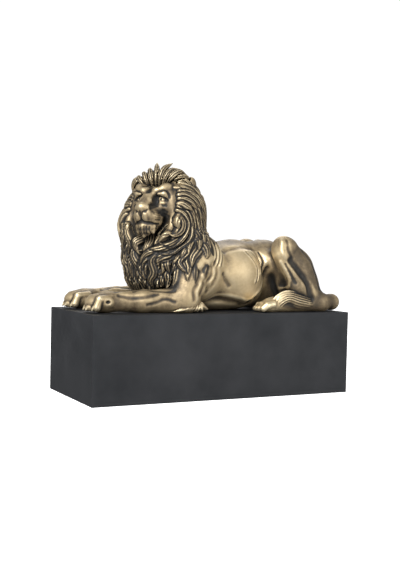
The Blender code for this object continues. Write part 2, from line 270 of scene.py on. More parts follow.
def add_trunk(clay):
    clay.ball((8, 0, 33), (46, 37, 27.5), 8)
    clay.limb(((-10, 0, 40, 18), (30, 0, 42, 22), (66, 0, 44, 20)), 8)
    clay.limb(((66, 0, 44, 20), (84, 0, 38, 20)), 10)
    clay.ball((26, 0, 24), (34, 34, 20), 8)
    clay.ball((10, 0, 10), (46, 26, 10.5), 6)
    for side in BOTH:
        clay.ball((22, side * 17, 34), (27, 23, 26), 6)
        clay.ball((28, side * 13, 18), (23, 23, 13), 6)
        clay.limb(((58, side * 18, 46, 9), (76, side * 26, 44, 13)), 6)
    clay.limb(((60, 0, 20, 17), (90, 0, 20, 19)), 8)


def add_hind_leg(clay, side):
    knee = 59 if side < 0 else 56.5  # the near one stands higher
    clay.ball((83, side * 29, 33), (18.5, 17.5, 25.5), 6)
    clay.limb(((69, side * 34, knee - 2, 12), (82, side * 30, 39, 15.5)), 6)
    clay.ball((65, side * 35, knee), (9, 11, 10.5), 4)
    clay.limb(((63, side * 38, 52, 8), (78, side * 41, 24, 9.5), (101, side * 41, 10, 8.5)), 4)
    clay.ball((92, side * 32, 21), (14, 15.5, 19.5), 6)
    clay.limb(((105, side * 42, 7, 7), (52, side * 42, 7, 7)), 4)


def add_foreleg(clay, side):
    clay.ball((-20, side * 28, 40), (25.5, 18.5, 30.5), 8)
    clay.limb(((-24, side * 33, 44, 15.5), (-36, side * 37, 16, 13.5)), 6)
    clay.ball((-38, side * 39, 10), (15, 10, 10.5), 4)
    clay.limb(((-38, side * 37, 10, 11), (-75, side * 33, 10, 9.5)), 5)
    clay.limb(((-75, side * 33, 10, 9.5), (-104, side * 28.5, 9.5, 8.5)), 4)


def add_mane(clay):
    clay.limb(((-28, 0, 44, 27), (-33, -1, 86, 30.5)), 10)
    clay.ball((-41, 0, 93), (29.5, 36, 32), 8)
    clay.ball((-45.5, 1.5, 76), (34.5, 38.5, 27), 8)
    clay.ball((-47.5, 0.5, 52), (29, 33.5, 40), 8)
    clay.ball((-47.5, 0, 32), (25, 28.5, 20), 6)
    clay.ball(head_point(36, 0, -8), (24, 21, 32), 5, HEAD_AXES, cut=True)
    clay.ball(head_point(36, 0, 25), (28, 25, 20), 5, HEAD_AXES, cut=True)


def add_paw(clay, side):
    spread = side * 27
    clay.ball((-110, spread, 8.6), (14, 12, 8.4), 4)
    for toe in range(4):
        out = toe - 1.5
        across = spread + side * out * 6.4
        knuckle = (-116.5 + abs(out), across, 11.8)
        tip = -121.2 + 2 * abs(out) ** 1.5
        clay.limb(((-104, spread + side * out * 4.8, 13, 2.8), (*knuckle, 3.3)), 0.8)
        clay.limb(((*knuckle, 3.2), (tip, across, 5, 3.5)), 0.6)
        clay.limb(((tip - 2.6, across, 5, 1.6), (tip - 4.4, across, 2.6, 0.7)), 0.6)


def add_hind_toes(clay, side):
    clay.ball((46, side * 43, 6), (11, 8.5, 6.5), 3)
    for toe in range(4):
        out = toe - 1.5
        across = side * (43 + out * 4.6)
        knuckle = (39 + abs(out), across, 6.2, 3.5)
        clay.limb(((47, across, 7.5, 3.3), knuckle), 1)
        clay.limb((knuckle, (35.5 + abs(out), across, 3.8, 3)), 0.8)


def add_tail(clay):
    bend = ((118, -23, 9, 6.8), (119, -38, 8.6, 6.9))
    clay.limb(((92, -2, 28, 8), (109, -9, 16, 7.5), *bend, (103, -43, 9.5, 7.5)), 4)


# The face


def face_tools(clay, side=1):
    """Ball, limb and stroke by the face's axes, mirrored by side; a limb's stop ends in its radius."""

    def at(stop):
        return face_point(stop[0], side * stop[1], stop[2])

    def ball(middle, radii, blend, cut=False):
        clay.ball(at(middle), radii, blend, FACE_AXES, cut)

    def limb(stops, blend, cut=False):
        clay.limb([(*at(stop), stop[3]) for stop in stops], blend, cut)

    def stroke(stops, width, depth):
        path = smooth_path([at(stop) for stop in stops], 3 * len(stops))
        clay.stroke(snap(clay, path), width, depth)

    return ball, limb, stroke


def add_skull(clay):
    """Skull, bridge of the nose and jaw."""
    ball, limb, _ = face_tools(clay)
    clay.ball(HEAD - 3 * CROWN, (25, 20, 18), 4, HEAD_AXES)
    clay.ball(head_point(3, 0, 18), (9, 17, 12), 4, HEAD_AXES)
    limb(((6, 0, 6, 10), (20, 0, 3, 7)), 4)
    limb(((16, 0, 5.5, 6), (26, 0, 1.4, 5), (36, 0, -5, 4)), 4)
    ball((22, 0, -17), (13, 10.5, 7.5), 3)


def add_half_face(clay, side):
    ball, limb, stroke = face_tools(clay, side)
    # cheek and cheekbone
    ball((10, 15.5, -3), (11, 6.8, 13), 5)
    ball((5, 19.5, -5), (9, 6, 14), 5)
    limb(((20, 10, -4, 3.6), (13, 15, -5.5, 4.6)), 4)
    # bridge edges, kept flat between them
    limb(((25, 3.4, 5.2, 1.6), (30.5, 3.5, 0.6, 1.6), (35.5, 3.3, -4, 1.8)), 2.5)
    # upper lip
    limb(((35, 2.8, -10.8, 4.2), (34.2, 3.2, -14.8, 3.8)), 2)
    limb(((34.5, 3.4, -12, 4.6), (29.5, 6.2, -13.2, 4.9), (21, 7, -13.6, 5)), 2.5)
    limb(((33.6, 3.4, -16, 2.8), (28.8, 7, -17.2, 2.8), (22, 8.8, -18, 2.4)), 2)
    limb(((31, 4.6, -7.6, 2.6), (21, 7.8, -6.4, 3.4)), 3)
    # eye socket and eyeball
    ball((26.4, 9.6, 3), (5, 4.2, 4.2), 2.5, cut=True)
    ball((26, 7.2, 2), (4, 2.3, 5.4), 1.5, cut=True)
    ball((18.8, 10.8, 2.2), (4.4, 4.4, 3.4), 0.6)
    # brow, with the lid that hangs from it
    brow = ((23.8, 6.6, 9.6, 2.4), (21.4, 11.2, 11, 2.8), (17.2, 15.8, 8.4, 2.6))
    limb(((24.6, 3, 6.4, 1.9), *brow, (14.6, 17.4, 3, 2)), 2)
    limb(((23.2, 9, 7.2, 2.2), (22, 12.8, 7, 2.8), (18.6, 15.8, 3.8, 2.2)), 0.8)
    limb(((22.4, 10.2, -0.8, 1.2), (21.2, 12.6, -1.2, 1.5), (18.6, 15.2, 0.2, 1.3)), 1.5)
    stroke(((25.4, 7.4, 7.8), (23.6, 11.4, 8.8), (20, 15, 7.2), (17.4, 17, 3)), 0.8, 0.9)
    stroke(((24.6, 7.6, 4.4), (23.4, 11, 4.2), (20.5, 14.2, 3), (18, 16, 0.8)), 0.8, 1.7)
    ball((23.2, 10.6, 2.3), (1.4, 1.1, 1.1), 0.3, cut=True)
    # bumps of the forehead
    ball((16.4, 12.6, 12.8), (6, 5.4, 4.4), 2.5)
    ball((21, 3.9, 9.6), (4, 3, 3.4), 2)
    # nostril, mouth and the wrinkles beside them
    limb(((40.6, 1.4, -9.4, 1), (39.8, 4.2, -9.4, 1.5), (38.4, 6.4, -7.8, 1.3)), 0.5, cut=True)
    stroke(((38.4, 6.2, -7.6), (36.6, 6.8, -5.4), (34.6, 6, -4.2)), 0.8, 1.2)
    stroke(((39.2, 1.9, -10.2), (38.8, 1.7, -12), (38.8, 0.3, -13.6)), 0.6, 0.9)
    stroke(((38, 5.4, -11), (37.2, 6, -14), (36.4, 6.2, -16.8)), 1.5, 0.7)
    stroke(((38, 0, -18.8), (36.4, 4.2, -19.6), (32, 8.4, -20.2), (25, 11, -20.2)), 0.8, 1.6)
    stroke(((36, 6.4, -6.6), (31, 7.6, -5.4), (26, 9, -3)), 1.1, 0.9)
    stroke(((22, 12.4, -3), (19, 15, -3.6)), 1, 0.7)
    stroke(((22, 12.6, -7.4), (18.6, 15.4, -8)), 1.2, 0.9)
    stroke(((23, 13, -11.2), (19, 15.6, -12), (15, 17.8, -11.4)), 1, 0.7)
    for row in range(4):
        low = -9.2 - 2.2 * row
        start = (34 - 1.2 * row, 9 + 0.3 * row, low)
        stroke((start, (30.5, 11.4, low - 0.8), (24 + row % 2, 13.6, low - 0.4)), 0.7, 0.5)


def add_nose(clay):
    _, limb, stroke = face_tools(clay)
    limb(((36.8, -4.1, -6.2, 2.4), (38.4, 0, -6.2, 2.9), (36.8, 4.1, -6.2, 2.4)), 2.5)
    limb(((38.6, 0, -8.6, 2.2), (37.8, 0, -11.6, 1.4)), 1.2)
    stroke(((40.5, 0, -9.6), (39.5, 0, -12), (39, 0, -15), (38.6, 0, -18.8)), 0.8, 1.4)
    stroke(((26.5, 0, 7.5), (22, 0, 11), (12, 0, 16)), 1.9, 1.6)


def add_chin(clay):
    """The chin, its merged strands, and irregular grooves over them."""
    _, limb, stroke = face_tools(clay)
    limb(((30, -5.6, -22.4, 2.6), (33, 0, -22.2, 3.2), (30, 5.6, -22.4, 2.6)), 2)
    limb(((24.5, 0, -20.5, 8.4), (28, 0, -24, 4.6)), 2)
    for strand in range(7):
        left = -7.8 + 2.6 * strand
        back = 0.075 * left * left
        low = -31 + 0.1 * left * left + 0.7 * (-1) ** strand
        stops = (
            (33.4 - back, left, -22, 2),
            (33 - back, left * 0.86, -26, 1.8),
            (31.4 - back, left * 0.66, low + 1.5, 1.1),
            (30.8 - back, left * 0.66 - 0.8, low, 0.5),
        )
        limb(stops, 1.8)
    chance = random.Random(CHIN_SEED)
    for groove in range(6):
        left = -6.5 + 2.6 * groove + chance.uniform(-0.5, 0.5)
        back = 0.075 * left * left
        top = -22.6 + chance.uniform(-1.2, 0.6)
        low = -28 + 0.08 * left * left + chance.uniform(-1.5, 1.0)
        bend = chance.uniform(-0.7, 0.7)
        middle = (35.5 - back, left * 0.86 + bend, -25.5)
        stops = ((36 - back, left, top), middle, (33 - back, left * 0.66, low))
        stroke(stops, 0.6, chance.uniform(0.7, 1.4))


def add_jaw_strands(clay, side):
    """Strands that run from behind the jaw to below the chin."""
    for strand in range(6):
        f = strand / 5
        stops = (
            face_point(15 - 5 * f, side * (14.5 + 6 * f), -20 - 3 * f),
            face_point(16 - 3 * f, side * (12.5 + 4.5 * f), -24 - 3 * f),
            face_point(17 - 2 * f, side * (9 + 3 * f), -29 - 3 * f),
            face_point(19 - f, side * (3 + 2 * f), -34.5 - 4 * f),
        )
        hair(clay, stops, 3.2, 2.6, 0.6 * FACE_AHEAD + 0.8 * side * FACE_LEFT)


def add_head(clay):
    add_skull(clay)
    for side in BOTH:
        add_half_face(clay, side)
    add_nose(clay)
    add_chin(clay)
    for side in BOTH:
        add_jaw_strands(clay, side)


def add_ears(clay):
    rim = ((9, -12, 19.5), (8, -5.5, 21.5), (4, 0, 20.5), (1, 3.5, 16.5), (0, 4, 11))
    for side, out in ((1, 26), (-1, 21.5)):
        clay.ball(head_point(-4, side * (out + 2.5), 17), (5, 5, 8), 2, HEAD_AXES)
        clay.ball(head_point(5, side * (out - 5), 15.5), (6, 6.4, 4.6), 2.5, HEAD_AXES, cut=True)
        stops = [head_point(ahead, side * (out + left), up) for ahead, left, up in rim]
        hair(clay, stops, 2.6, 2.4, AHEAD + 0.4 * side * LEFT, 3)


# The mane


def head_way(alpha, phi):
    """From the middle of the head: alpha degrees off the nose, phi from the crown to the left ear."""
    a, f = radians(alpha), radians(phi)
    return HEAD, cos(a) * AHEAD + sin(a) * (cos(f) * CROWN + sin(f) * LEFT)


def neck_way(theta, height):
    """From the neck's upright axis: theta degrees from the front towards the left side."""
    t = radians(theta)
    return NECK + (0, 0, height), np.array((-cos(t), -sin(t), 0))


def cheek_way(side, radius, psi):
    """On a ring, radius degrees wide, about the hollow behind the jaw; psi is 180 at its back."""
    middle = unit(19 * AHEAD + side * 19 * LEFT - 15 * CROWN)
    rise = unit(CROWN - (CROWN @ middle) * middle)
    front = unit(AHEAD - (AHEAD @ middle) * middle - (AHEAD @ rise) * rise)
    r, p = radians(radius), radians(psi)
    return HEAD, cos(r) * middle + sin(r) * (cos(p) * front + sin(p) * rise)


def smooth_path(points, count):
    """A Catmull-Rom curve through the points."""
    points = np.asarray(points, float)
    full = np.vstack((2 * points[0] - points[1], points, 2 * points[-1] - points[-2]))
    path = []
    for t in np.linspace(0, len(points) - 1, count):
        i = min(int(t), len(points) - 2)
        f = t - i
        a, b, c, d = full[i : i + 4]
        bend = (2 * a - 5 * b + 4 * c - d) * f * f + (3 * b - a - 3 * c + d) * f**3
        path.append(0.5 * (2 * b + (c - a) * f + bend))
    return np.array(path)


def way_of(side, stop):
    """A ray that meets the mane's skin, from a stop: its kind and two coordinates of that kind."""
    kind, first, second = stop
    if kind == "cheek":
        return cheek_way(side, first, second)
    if kind == "neck":
        return neck_way(side * first, second)
    return head_way(first, side * second)


# Where the mane ends: degrees round the neck, and the height there
LOWER_EDGE = ((72, 80, 95, 105, 118, 127, 140, 180), (16, 20, 30, 40, 51, 60, 71, 75))
# radius, both ends, flare and strands of the rings nearest to the cheek's hollow
INNER_RINGS = ((24.5, 104, 305, 0.55, 3), (18.5, 104, 300, 0.4, 3), (12.5, 118, 292, 0, 2))


def mane_locks(chance):
    """Every lock, the lowest layer first: its side, stops, half width, height, strands and tip lift."""
    locks = []

    def lay(side, stops, width, height=2.6, strands=3, lift=0.8, stray=1.4):
        moved = []
        for kind, *place in stops:
            moved.append((kind, *(value + chance.uniform(-stray, stray) for value in place)))
        locks.append((side, moved, width * chance.uniform(0.88, 1.12), height, strands, lift))

    def sweep(side, first, last, count, width, **more):
        """Locks laid evenly from one guide to another."""
        for i in range(count):
            f = i / max(count - 1, 1)
            stops = []
            for (kind, a, b), (_, c, d) in zip(first, last):
                stops.append((kind, a + f * (c - a), b + f * (d - b)))
            lay(side, stops, width, **more)

    def neck(*stops):
        return [("neck", *stop) for stop in stops]

    def wave(side, theta, top, drop, bend, shape, width, **more):
        """A wavy lock that hangs from top; shape gives each stop's shift, share of bend and of drop."""
        stops = [(theta + shift + bend * b, top - drop * d) for shift, b, d in shape]
        lay(side, neck(*stops), width, height=3.2, **more)

    def ring(radius, start, end, count=5):
        return [("cheek", radius, psi) for psi in np.linspace(start, end, count)]

    for side in BOTH:
        # the mane's lower edge, over shoulder and back, then the rows above it
        for row in range(4):
            count = 10 - row
            for i in range(count):
                theta = 84 + 96 * (i + 0.5 * (row % 2)) / (count - 0.5)
                tip = np.interp(theta, *LOWER_EDGE) + 15 * row
                lean = 7 * sin(2.3 * i + 1.7 * row)
                upper = ((theta + 5, tip + 26), (theta - lean * 0.4, tip + 17))
                lower = ((theta + lean * 0.4 - 3, tip + 8), (theta - 5 + lean * 0.3, tip))
                lay(side, neck(*upper, *lower), 4.8, height=3, lift=1.4)
        # upright wavy locks of the breast
        for row, (top, drop, count) in enumerate(((42, 27, 5), (60, 34, 5), (76, 26, 4))):
            for i in range(count):
                theta = -4 + 50 * (i + 0.5 * (row % 2)) / (count - 0.5)
                bend = 7 * (-1) ** (i + row)
                shape = ((0, 0, 0), (0, 0.6, 0.3), (0, -0.5, 0.65), (0, 0.5, 1))
                wave(side, theta, top, drop, bend, shape, 4.6, strands=4)
        # wavy locks between breast and shoulder, in two rows
        for row, (high, low, drop, last) in enumerate(((38, 40, 18, 72), (57, 60, 26, 90))):
            for i in range(6):
                f = i / 5
                top = high + (low - high) * f
                bend = (3.5 + row) * (-1) ** (i + row)
                shape = ((6, 0, 0), (2, 0.5, 0.33), (0, -0.5, 0.66), (0, 0.4, 1))
                wave(side, 48 + (last - 48) * f, top, drop, bend, shape, 3.9, lift=1.2)
        # flames on the shoulder
        front = neck((88, 68), (84, 60), (86, 51), (81, 42))
        rear = neck((124, 86), (119, 77), (119, 68), (113, 59))
        sweep(side, front, rear, 5, 4.6, height=3.4, lift=2.2)
        # long locks from behind the jaw over the neck to the breast
        outer = neck((100, 62), (88, 56), (74, 50), (60, 45.5), (49, 41), (43, 35), (42, 27))
        inner = neck((112, 80), (99, 69), (82, 60), (64, 55), (47, 52), (35, 47), (29, 38), (31, 26))
        sweep(side, outer, inner, 4, 3.6, height=3.2)
        # rings round the cheek's hollow, the widest first
        for j, radius in enumerate((74, 66, 58.5, 51, 44, 37, 30.5)):
            middle = 158 + 14 * (-1) ** j
            lay(side, ring(radius, middle, 204 + 5 * j), 3.3, strands=2, lift=0.6)
            lay(side, ring(radius, 108, middle + 22), 3.5, lift=1.2)
        for radius, start, end, flare, strands in INNER_RINGS:
            stops = []
            for kind, _, psi in ring(radius, start, end, 9):
                stops.append((kind, radius * (1 + flare * (max(psi - 220, 0) / 85) ** 1.4), psi))
            lay(side, stops, 2.9, height=2.8, strands=strands, lift=0.4, stray=0.5)
        # tufts that sweep back from the temple
        for j, radius in enumerate((51, 44, 37, 30)):
            tuft = ring(radius, 103, 168 - 6 * j)
            stops = [(kind, r - 2 + 0.09 * (psi - 103), psi) for kind, r, psi in tuft]
            lay(side, stops, 3.4, height=3, lift=1.8, stray=0.8)
    # rows over the head, the rear first: where they start and end, the step across and the reach
    rows = ((128, 166, 22, 88, 1), (96, 138, 17, 68, 2), (76, 110, 16, 40, 2.5))
    for start, end, step, wide, lift in rows:
        for i in range(int(2 * wide / step) + 1):
            phi = -wide + step * i
            curl = 7 if phi > 0 else -7
            run = end - start
            shares = ((0, phi * 0.7), (0.35, phi * 0.86), (0.7, phi))
            stops = [("head", start + run * share, at) for share, at in shares]
            lay(1, [*stops, ("head", end, phi + curl)], 4.2, height=3.2, lift=lift)
    # long locks over the join of breast and shoulder
    for side in BOTH:
        lay(side, neck((45, 36), (48, 29), (43, 21), (46, 14), (42, 8)), 3.8, height=2.8, lift=0.6)
        lay(side, neck((55, 50), (49, 43), (51, 35), (46, 28), (49, 20)), 3.8, height=2.8, lift=0.6)
    return locks


def find(clay, way, first=False, reach=52):
    """Where a way leaves the clay: the first time, or the last."""
    centre, out = way
    points = centre + np.arange(0, reach, 0.5)[:, None] * out
    inside = clay.read(points) < 0
    if first and inside.any():
        start = int(np.argmax(inside))
        gone = np.nonzero(~inside[start:])[0]
        return points[start + gone[0] - 1] if len(gone) else points[-1]
    held = np.nonzero(inside)[0]
    return points[held[-1]] if len(held) else centre


def snap(clay, points, count=5):
    for _ in range(count):
        points = points - np.clip(clay.read(points), -3, 3)[:, None] * clay.slope(points)
    return points


def across_of(points, normals):
    """The direction across a path, at each of its points."""
    return unit_rows(np.cross(unit_rows(np.gradient(points, axis=0)), normals))


def run_cells(grid, shape, step, points, reach):
    """For each run of a path: its number, the grid's cell round it, how far along and beside it."""
    origin = np.array([g.ravel()[0] for g in grid])
    for i, (start, end) in enumerate(zip(points, points[1:])):
        edge = max(reach[i], reach[i + 1])
        low = np.minimum(start, end) - edge
        cell = cell_between(low, np.maximum(start, end) + edge, origin, step, shape, 1)
        if cell:
            x, y, z = grid
            near = (x[cell[0]], y[:, cell[1]], z[:, :, cell[2]])
            yield i, cell, *beside_run(near, start, end)


def ridges(place, strands):
    """The strands' ridges across a lock, from its one edge at -1 to the other at 1."""
    shift = 0 if strands % 2 else 1 / strands
    return np.cos(np.float32(pi / 2) * strands * (place + shift)) ** 2


def swell(points, run, root):
    """The way along a path from 0 to 1, and how full a lock is there: least at root and tip."""
    t = np.linspace(0, 1, len(points))
    return t, np.clip(np.sin(pi * (t * run + root)), 0, 1)


def add_lock(clay, points, normals, wide, tall, strands, groove, depth=0.42):
    """A flattened, ridged strand of hair along points, set off from what it lies on by a groove."""
    side = across_of(points, normals)
    part, grid = clay.around(points, wide.max() + 2.5)
    if part is None:
        return
    shape = clay.field[part].shape
    smooth = np.full(shape, 9.0, np.float32)
    ridged = smooth.copy()
    for i, cell, along, rest in run_cells(grid, shape, clay.step, points, wide + 2):
        across = dot(rest, between(side[i], side[i + 1], along))
        w = wide[i] + along * np.float32(wide[i + 1] - wide[i])
        h = tall[i] + along * np.float32(tall[i + 1] - tall[i])
        ratio = h / w
        gap = np.sqrt(np.maximum(dot(rest, rest) - across * across * (1 - ratio * ratio), 0))
        ridge = ridges(np.clip(across / w, -1.1, 1.1), strands)
        nearer = gap - h < smooth[cell]
        smooth[cell] = np.where(nearer, gap - h, smooth[cell])
        ridged[cell] = np.where(nearer, gap - h * (1 - depth * (1 - ridge)), ridged[cell])
    clay.field[part] = np.maximum(clay.field[part], -(smooth - groove))
    clay.merge(part, ridged, 0.3)


def lock_paths(skin, locks):
    """Each lock's points on the skin, with the skin's directions there."""
    laid = []
    for side, stops, width, height, strands, lift in locks:
        stops = [find(skin, way_of(side, stop), stop[0] == "neck") for stop in stops]
        length = sum(np.linalg.norm(b - a) for a, b in zip(stops, stops[1:]))
        points = snap(skin, smooth_path(stops, max(8, int(length / 2.2))))
        laid.append((points, skin.slope(points, 2.5), width, height, strands, lift))
    return laid


class Pelt:
    """Carved hair as a height over the skin, on the skin's grid; later locks cover earlier ones."""

    BARE = -2.2  # the height where no hair lies
    DEEP = 6.5  # how far over and under the skin a lock is felt

    def __init__(self, skin):
        self.skin = skin
        self.height = np.full(skin.field.shape, self.BARE, np.float32)

    def lay(self, points, normals, wide, tall, lift, strands, wander, groove=1.2, depth=0.38):
        side = across_of(points, normals)
        part, grid = self.skin.around(points, wide.max() + self.DEEP)
        if part is None:
            return
        shape = self.height[part].shape
        best = np.full(shape, 99.0, np.float32)
        across = np.zeros(shape, np.float32)
        rank = np.zeros(shape, np.float32)
        for i, cell, along, rest in run_cells(grid, shape, self.skin.step, points, wide + self.DEEP):
            rise = dot(rest, between(normals[i], normals[i + 1], along))
            gap = np.sqrt(np.maximum(dot(rest, rest) - rise * rise, 0))
            gap = gap + np.maximum(np.abs(rise) - 5, 0) * 4
            nearer = gap < best[cell]
            best[cell] = np.where(nearer, gap, best[cell])
            aside = dot(rest, between(side[i], side[i + 1], along))
            across[cell] = np.where(nearer, aside, across[cell])
            rank[cell] = np.where(nearer, i + along, rank[cell])
        stops = np.arange(len(points))
        w, h, base = (np.interp(rank, stops, sizes).astype(np.float32) for sizes in (wide, tall, lift))
        off = best / w
        ridge = ridges(across / w + 0.14 * np.sin(wander + 0.5 * rank), strands)
        dome = np.maximum(1 - np.minimum(off, 1) ** 2.2, 0) ** 0.6
        old = self.height[part]
        top = np.maximum(base + h * dome * (1 - depth * (1 - ridge)), old - 1.6)
        mask = np.clip((1 - off) * w / 0.7 + 0.5, 0, 1)
        fade = np.clip(h / tall.max(), 0, 1)
        moat = groove * fade * np.exp(-((((off - 1) * w - 0.45) / 0.55) ** 2))
        self.height[part] = np.where(best < 90, (old - moat) * (1 - mask) + top * mask, old)


def base_hair(skin, laid, chance, count):
    """Short fine locks all over the mane's skin, combed the way of the locks nearest to them."""
    known = np.vstack([points[::2] for points, *_ in laid])
    runs = unit_rows(np.vstack([np.gradient(points, axis=0)[::2] for points, *_ in laid]))
    pick = np.array([chance.random() for _ in range(count)])
    spots = known[(pick * len(known)).astype(int)]
    spots = spots + np.array([[chance.gauss(0, 3.5) for _ in range(3)] for _ in range(count)])
    path = [snap(skin, spots, 6)]

    def comb(at):
        far = ((at[:, None, :] - known[None, :, :]) ** 2).sum(axis=2)
        near = np.argsort(far, axis=1)[:, :5]
        weight = 1 / (np.take_along_axis(far, near, axis=1) + 2)
        return unit_rows((runs[near] * weight[..., None]).sum(axis=1))

    for _ in range(7):
        path.append(snap(skin, path[-1] + 2.4 * comb(path[-1]), 2))
    return np.stack(path, axis=1)


def carve_mane(skin, clay):
    """Lays the fine hair, then every lock, on the mane's plain skin."""
    chance = random.Random(MANE_SEED)
    laid = lock_paths(skin, mane_locks(chance))
    pelt = Pelt(skin)
    for points in base_hair(skin, laid, chance, FINE_LOCKS):
        t, body = swell(points, 0.88, 0.12)
        wide = 2.6 * body**0.75 + 0.3
        pelt.lay(points, skin.slope(points, 2.5), wide, 1.8 * body, -1.4 + 0.8 * t, 2, 6 * t[1], 0.5)
    for points, normals, width, height, strands, lift in laid:
        t, body = swell(points, 0.88, 0.12)
        wide = np.maximum(width * body**0.75, 0.5)
        rise = -1 + (lift + 0.4) * t**1.5
        pelt.lay(points, normals, wide, height * body**0.6, rise, strands, chance.uniform(0, 6))
    first = np.round((skin.low - clay.low) / clay.step).astype(int)
    part = tuple(slice(a, a + count) for a, count in zip(first, skin.field.shape))
    mane = np.clip(skin.field, -9, 9) - pelt.height
    clay.merge(part, mane.astype(np.float32), 0.8)
    return pelt


# The locks that spring from the middle of the hairline, the lowest first: half width, height and
# stops, each (ahead, left, up) from the head's middle
CROWN_FAN = (
    (3.2, 3.2, ((9, 13, 18), (9.5, 18.5, 22.5), (3, 25, 24.5), (-5, 28.5, 20))),
    (3.4, 3.4, ((9, -9, 15), (10.5, -12.5, 19), (7, -17, 23), (0, -22, 24))),
    (3.4, 3.6, ((10, -6.5, 15), (11, -8.5, 21), (8, -11.5, 26), (0, -16.5, 29))),
    (3.8, 3.8, ((9.5, 10.5, 17), (11, 15.5, 23), (6, 20.5, 28), (-4, 25, 25.5))),
    (3.6, 3.8, ((10, -2.5, 15), (12, -3, 22), (8, -6, 28.5), (0, -10, 32.5))),
    (3.4, 3.6, ((10, 7, 16), (12, 10, 22.5), (8, 13.5, 29), (0, 18.5, 31.5))),
    (3.6, 3.8, ((10, 1.2, 16), (12, 1.8, 23), (8.5, 0.4, 31), (2, -2.2, 37))),
    (3.6, 3.8, ((10, 4.2, 16), (12, 5.6, 23.5), (8.5, 7.8, 31), (0, 12, 36.8))),
)


def add_crown_fan(clay):
    for width, height, stops in CROWN_FAN:
        points = smooth_path([head_point(*stop) for stop in stops], 13)
        t, body = swell(points, 0.82, 0.18)
        thick = body**0.7
        normals = unit_rows(unit(AHEAD + 0.3 * CROWN) + 0.03 * (points - head_point(0, 0, 18)))
        wide = np.maximum(width * thick * (0.62 + 0.5 * t), 0.5)
        add_lock(clay, points, normals, wide, np.maximum(height * thick, 0.5), 3, 0.8, 0.34)


def add_tail_tuft(clay):
    """Nested strands that rise over the near foot and come down towards its toes."""
    for strand in range(6):
        s = strand / 5
        out = -46 - 3.4 * sin(pi * (0.1 + 0.8 * s))
        stops = (
            (99, out + 5, 9 - 5 * s),
            (88, out + 1.5, 12 - 8 * s),
            (76 - 2 * s, out, 15.5 - 10 * s),
            (63 + 3 * s, out, 18 - 9.5 * s),
            (53 + 8 * s, out, 14.5 - 7.5 * s),
            (45 + 12 * s, out, 7.5 - 5 * s),
        )
        hair(clay, stops, 2.7, 2.5, (0, -0.85, 0.5), 2, groove=NO_GROOVE)


def hair(clay, stops, width, height, out, strands=2, groove=0.4):
    """One loose lock that stands on its own."""
    points = smooth_path(stops, 4 * len(stops))
    thick = swell(points, 0.84, 0.16)[1] ** 0.6
    wide = np.maximum(width * thick, 0.5)
    tall = np.maximum(height * thick, 0.4)
    add_lock(clay, points, np.tile(unit(out), (len(points), 1)), wide, tall, strands, groove)


def add_leg_hair(clay):
    """Tufts at the elbows and behind them."""
    chance = random.Random(LEG_SEED)
    for side in BOTH:
        out = (0, side * 0.8, 0.6)
        for i in range(6):
            f = i / 5
            stray = chance.uniform(-2.5, 2.5)
            start = (-30 + 4 * f, side * 42, 11 + 0.5 * stray)
            mid = (-38 + 14 * f, side * (47.5 - 2 * f), 5 + 0.3 * stray)
            tip = (-50 + 30 * f + stray, side * (47 - 4 * f), 1.8 - 0.8 * f)
            hair(clay, (start, mid, tip), 2.5 + 0.3 * stray, 1.8, out, groove=NO_GROOVE)
        for i in range(4):
            f = i / 3
            stray = chance.uniform(-1.5, 1.5)
            stops = (
                (-29, side * 38, 9 - 2 * f),
                (-22, side * 39, 8 - 2 * f),
                (-18 + 2 * f, side * (38 - f), 5 - f + 0.5 * stray),
                (-16 + 5 * f + stray, side * (36.5 - 2 * f), 1.6 + 1.2 * f),
            )
            hair(clay, stops, 2.4, 2, out, groove=NO_GROOVE)


def on_side(clay, stops, side):
    """Stops of (x, z), carried inwards onto the clay's flank."""
    path = smooth_path(stops, 4 * len(stops))
    across = side * np.arange(57, 0, -0.5)
    points = np.empty((len(path), len(across), 3))
    points[..., 0] = path[:, :1]
    points[..., 1] = across
    points[..., 2] = path[:, 1:]
    inside = clay.read(points) < 0
    first = np.argmax(inside, axis=1)
    return points[np.arange(len(path)), first]


# Stops (x, z) on the flank: the rim of the ribs, and folds of skin behind them
BELLY = ((-12, 10.9), (-5, 14.6), (5, 15.6), (20, 13), (29, 10.8))
RIBS = (*BELLY, (37, 15), (45, 21.6), (51, 32), (53.5, 45))
FLANK_FOLDS = (
    ((26.5, 54), (31.9, 48), (36.4, 40.8), (37.4, 33.5), (35, 27)),
    ((31, 55), (36.1, 49.9), (40.3, 43.6), (41.4, 36.3), (39.6, 29)),
    ((38, 55), (43, 49), (45.2, 42), (45, 35)),
    ((46.7, 54), (48.4, 46), (47.4, 39)),
)
# A fold behind the shoulder: x, the step to the next fold's x, and z
SHOULDER_FOLD = ((-9.7, 4.4, 63), (-8, 4.6, 55.4), (-9, 4.6, 48.5), (-12, 4.8, 42))
# Folds on the upper foreleg: x, top, foot and depth
UPPER_FOLDS = ((-33, 36, 12, 1.1), (-26, 42, 17, 0.8), (-18, 40, 22, 1.2))
# Muscles and hollows of shoulder, back and thigh: stops, width and depth
SHOULDER_MARKS = (
    (((-36, 43), (-29, 36), (-19, 39.5), (-11.4, 45)), 2.2, 1.3),
    (((-10, 42), (-8, 35), (-10, 27), (-16, 19)), 2.6, 1.4),
    (((1, 34), (4, 29), (8.5, 24)), 2.4, 1.4),
)
THIGH_MARKS = (
    (((6, 54), (25, 58), (42, 57)), 3, 0.9),
    (((67, 47), (76, 37), (84, 26), (88.5, 13)), 2.8, 4.6),
    (((58.5, 46), (63.5, 37), (67, 29.5), (67.5, 21)), 1.5, -1.4),
    (((62, 44), (67, 35), (71, 27)), 1.4, 1),
    (((60, 66), (58.5, 57), (61, 50)), 1.6, -0.9),
    (((64, 66), (64, 57), (68, 50)), 1.6, 0.9),
    (((84, 56), (93, 46), (98, 34), (100, 22)), 3, 0.9),
)
